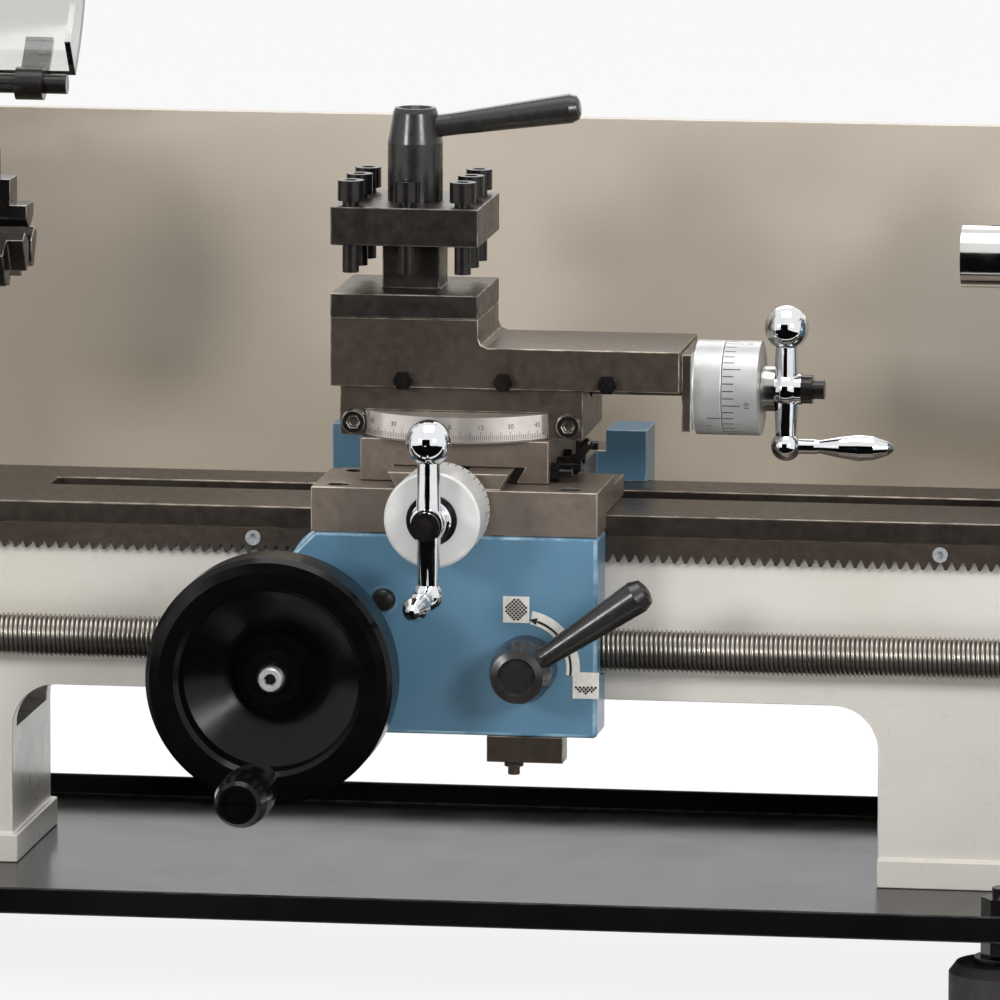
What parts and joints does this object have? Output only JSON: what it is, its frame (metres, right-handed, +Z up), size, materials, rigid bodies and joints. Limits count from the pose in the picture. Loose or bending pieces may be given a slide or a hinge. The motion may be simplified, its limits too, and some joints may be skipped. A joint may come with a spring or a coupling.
{
  "type": "bench lathe",
  "caption": "Metal-turning bench lathe with boxed bed, chuck, carriage with cross and compound slides, four-way tool post and tailstock in a chip tray.",
  "frame": {"origin": "on the bench, under the middle of the lathe's box", "axes": "+X along the bed from headstock to tailstock, +Y to the splash guard, +Z up"},
  "size_m": [0.953, 0.378, 0.5112],
  "materials": {
    "cream_paint": "satin gloss enamel",
    "blue_paint": "hammered satin enamel",
    "ground_iron": "ground",
    "black_oxide": "black oxide",
    "steel": "ground",
    "chrome": "polished",
    "aluminium": "satin turned",
    "black_plastic": "gloss",
    "rubber": "matt",
    "clear_plastic": "clear",
    "bronze": "cast",
    "tray_paint": "gloss enamel",
    "red_plastic": "gloss",
    "green_plastic": "gloss"
  },
  "bodies": {
    "bed": {"bed_casting": "cream_paint", "rack": "ground_iron", "machine_screws": "steel", "chip_tray": "tray_paint", "rubber_feet": "rubber", "foot_studs": "black_oxide", "splash_guard": "cream_paint", "headstock_casting": "cream_paint", "headstock_cover": "blue_paint", "gear_cover": "blue_paint", "spindle_bearings": "steel", "control_panel": "black_oxide", "motor": "aluminium", "drive_belt": "rubber", "gear_banjo": "ground_iron", "screw_brackets": "cream_paint"},
    "spindle": {"spindle": "steel", "chuck_body": "steel"},
    "scroll": {"chuck_scroll": "steel"},
    "jaw_1": {"chuck_jaw_1": "steel"},
    "jaw_2": {"chuck_jaw_2": "steel"},
    "jaw_3": {"chuck_jaw_3": "steel"},
    "motor_rotor": {"motor_pulley": "steel"},
    "idler": {"idler_gear": "steel"},
    "lead_screw": {"lead_screw": "steel"},
    "carriage": {"saddle": "ground_iron", "saddle_keeper": "ground_iron", "apron": "blue_paint", "half_nut_stop": "ground_iron"},
    "handwheel": {"handwheel": "black_plastic"},
    "wheel_grip": {"wheel_grip": "black_plastic"},
    "rack_pinion": {"rack_pinion": "steel"},
    "half_nut_lever": {"half_nut_lever": "black_plastic"},
    "upper_half_nut": {"upper_half_nut": "bronze"},
    "lower_half_nut": {"lower_half_nut": "bronze"},
    "cross_crank": {"cross_crank": "chrome", "cross_dial": "aluminium"},
    "cross_slide": {"cross_slide": "ground_iron", "cross_gib": "black_oxide", "swivel_disc": "chrome"},
    "lock_lever": {"slide_lock_lever": "black_oxide"},
    "compound": {"compound_base": "ground_iron"},
    "top_slide": {"top_slide": "ground_iron", "top_gib": "black_oxide"},
    "top_crank": {"top_crank": "chrome", "top_dial": "aluminium"},
    "tool_post": {"tool_post": "black_oxide", "tool_post_screws": "black_oxide"},
    "clamp_lever": {"clamp_lever": "black_plastic"},
    "tailstock": {"tailstock_body": "blue_paint", "tailstock_base": "ground_iron"},
    "quill": {"quill": "steel"},
    "tail_wheel": {"tail_handwheel": "black_plastic"},
    "quill_lock": {"quill_lock_lever": "black_plastic"},
    "tail_clamp": {"tail_clamp_lever": "black_plastic"},
    "guard": {"chuck_guard": "clear_plastic", "guard_rod": "black_oxide"},
    "stop_button": {"stop_button": "red_plastic"},
    "start_button": {"start_button": "green_plastic"},
    "speed_knob": {"speed_knob": "black_plastic"}
  },
  "joints": [
    {"name": "spindle_turn", "type": "hinge", "parent": "bed", "child": "spindle", "pos_m": [-0.1785, -0.001, 0.305], "axis": [1, 0, 0], "continuous": true},
    {"name": "motor_turn", "type": "hinge", "parent": "bed", "child": "motor_rotor", "pos_m": [-0.4085, 0.131, 0.24], "axis": [1, 0, 0], "continuous": true},
    {"name": "idler_turn", "type": "hinge", "parent": "bed", "child": "idler", "pos_m": [-0.4285, -0.01844, 0.23077], "axis": [1, 0, 0], "continuous": true},
    {"name": "lead_turn", "type": "hinge", "parent": "bed", "child": "lead_screw", "pos_m": [0.0715, -0.058, 0.1444], "axis": [1, 0, 0], "continuous": true},
    {"name": "scroll_turn", "type": "hinge", "parent": "spindle", "child": "scroll", "pos_m": [-0.1835, -0.001, 0.305], "axis": [1, 0, 0], "range_deg": [-216, 1296]},
    {"name": "jaw_1_slide", "type": "slide", "parent": "spindle", "child": "jaw_1", "axis": [0, 0, 1], "range_m": [-0.003, 0.018]},
    {"name": "jaw_2_slide", "type": "slide", "parent": "spindle", "child": "jaw_2", "axis": [0, -0.866, -0.5], "range_m": [-0.003, 0.018]},
    {"name": "jaw_3_slide", "type": "slide", "parent": "spindle", "child": "jaw_3", "axis": [0, 0.866, -0.5], "range_m": [-0.003, 0.018]},
    {"name": "carriage_slide", "type": "slide", "parent": "bed", "child": "carriage", "axis": [1, 0, 0], "range_m": [-0.13, 0.04]},
    {"name": "wheel_turn", "type": "hinge", "parent": "carriage", "child": "handwheel", "pos_m": [-0.0065, -0.101, 0.139], "axis": [0, 1, 0], "range_deg": [-935, 290]},
    {"name": "pinion_turn", "type": "hinge", "parent": "carriage", "child": "rack_pinion", "pos_m": [0.01475, -0.061, 0.1699], "axis": [0, 1, 0], "range_deg": [-195, 625]},
    {"name": "wheel_grip_turn", "type": "hinge", "parent": "handwheel", "child": "wheel_grip", "pos_m": [-0.00936, -0.151, 0.0981], "axis": [0, 1, 0], "continuous": true},
    {"name": "half_nut_turn", "type": "hinge", "parent": "carriage", "child": "half_nut_lever", "pos_m": [0.0935, -0.081, 0.14], "axis": [0, 1, 0], "range_deg": [-55, 34.5]},
    {"name": "upper_nut_slide", "type": "slide", "parent": "carriage", "child": "upper_half_nut", "axis": [0, 0, 1], "range_m": [-0.002, 0.0033]},
    {"name": "lower_nut_slide", "type": "slide", "parent": "carriage", "child": "lower_half_nut", "axis": [0, 0, 1], "range_m": [-0.0033, 0.002]},
    {"name": "cross_crank_turn", "type": "hinge", "parent": "carriage", "child": "cross_crank", "pos_m": [0.0585, -0.101, 0.205], "axis": [0, 1, 0], "range_deg": [-11160, 2520]},
    {"name": "cross_slide_move", "type": "slide", "parent": "carriage", "child": "cross_slide", "axis": [0, -1, 0], "range_m": [-0.062, 0.014]},
    {"name": "slide_lock_turn", "type": "hinge", "parent": "cross_slide", "child": "lock_lever", "pos_m": [0.1055, -0.031, 0.2172], "axis": [1, 0, 0], "range_deg": [-45, 45]},
    {"name": "swivel_turn", "type": "hinge", "parent": "cross_slide", "child": "compound", "pos_m": [0.0601, -0.023, 0.24], "axis": [0, 0, 1], "range_deg": [-45, 30]},
    {"name": "top_slide_move", "type": "slide", "parent": "compound", "child": "top_slide", "axis": [-1, 0, 0], "range_m": [-0.02, 0.034]},
    {"name": "top_crank_turn", "type": "hinge", "parent": "top_slide", "child": "top_crank", "pos_m": [0.1815, -0.027, 0.2511], "axis": [1, 0, 0], "range_deg": [-3600, 6120]},
    {"name": "tool_post_turn", "type": "hinge", "parent": "top_slide", "child": "tool_post", "pos_m": [0.0387, -0.027, 0.3], "axis": [0, 0, 1], "continuous": true},
    {"name": "clamp_turn", "type": "hinge", "parent": "top_slide", "child": "clamp_lever", "pos_m": [0.0387, -0.027, 0.35], "axis": [0, 0, 1], "range_deg": [-60, 45]},
    {"name": "tailstock_slide", "type": "slide", "parent": "bed", "child": "tailstock", "axis": [1, 0, 0], "range_m": [-0.04, 0.02]},
    {"name": "tail_wheel_turn", "type": "hinge", "parent": "tailstock", "child": "tail_wheel", "pos_m": [0.3915, -0.001, 0.305], "axis": [1, 0, 0], "range_deg": [-1440, 7200]},
    {"name": "quill_slide", "type": "slide", "parent": "tailstock", "child": "quill", "axis": [-1, 0, 0], "range_m": [-0.008, 0.04]},
    {"name": "quill_lock_turn", "type": "hinge", "parent": "tailstock", "child": "quill_lock", "pos_m": [0.3085, -0.001, 0.35], "axis": [0, 0, 1], "range_deg": [-40, 30]},
    {"name": "tail_clamp_turn", "type": "hinge", "parent": "tailstock", "child": "tail_clamp", "pos_m": [0.3315, -0.051, 0.242], "axis": [0, 1, 0], "range_deg": [-20, 60]},
    {"name": "guard_swing", "type": "hinge", "parent": "bed", "child": "guard", "pos_m": [-0.1685, 0.059, 0.363], "axis": [1, 0, 0], "range_deg": [0, 100]},
    {"name": "stop_press", "type": "slide", "parent": "bed", "child": "stop_button", "axis": [0, 1, 0], "range_m": [0, 0.004]},
    {"name": "start_press", "type": "slide", "parent": "bed", "child": "start_button", "axis": [0, 1, 0], "range_m": [0, 0.003], "stiffness_N_per_m": 400},
    {"name": "speed_turn", "type": "hinge", "parent": "bed", "child": "speed_knob", "pos_m": [-0.3505, -0.081, 0.256], "axis": [0, 1, 0], "range_deg": [-135, 135]}
  ],
  "couplings": [
    {"joint": "motor_turn", "follows": "spindle_turn", "ratio": 1.9048},
    {"joint": "idler_turn", "follows": "spindle_turn", "ratio": -0.32609},
    {"joint": "lead_turn", "follows": "spindle_turn", "ratio": 0.5},
    {"joint": "wheel_turn", "follows": "carriage_slide", "rad_per_m": 125},
    {"joint": "pinion_turn", "follows": "carriage_slide", "rad_per_m": -83.333},
    {"joint": "upper_nut_slide", "follows": "half_nut_turn", "m_per_rad": -0.00332},
    {"joint": "lower_nut_slide", "follows": "half_nut_turn", "m_per_rad": 0.00332},
    {"joint": "cross_crank_turn", "follows": "cross_slide_move", "rad_per_m": 3141.6},
    {"joint": "top_crank_turn", "follows": "top_slide_move", "rad_per_m": 3141.6},
    {"joint": "quill_slide", "follows": "tail_wheel_turn", "m_per_rad": 0.00031831},
    {"joint": "jaw_1_slide", "follows": "scroll_turn", "m_per_rad": 0.00079577},
    {"joint": "jaw_2_slide", "follows": "scroll_turn", "m_per_rad": 0.00079577},
    {"joint": "jaw_3_slide", "follows": "scroll_turn", "m_per_rad": 0.00079577}
  ]
}
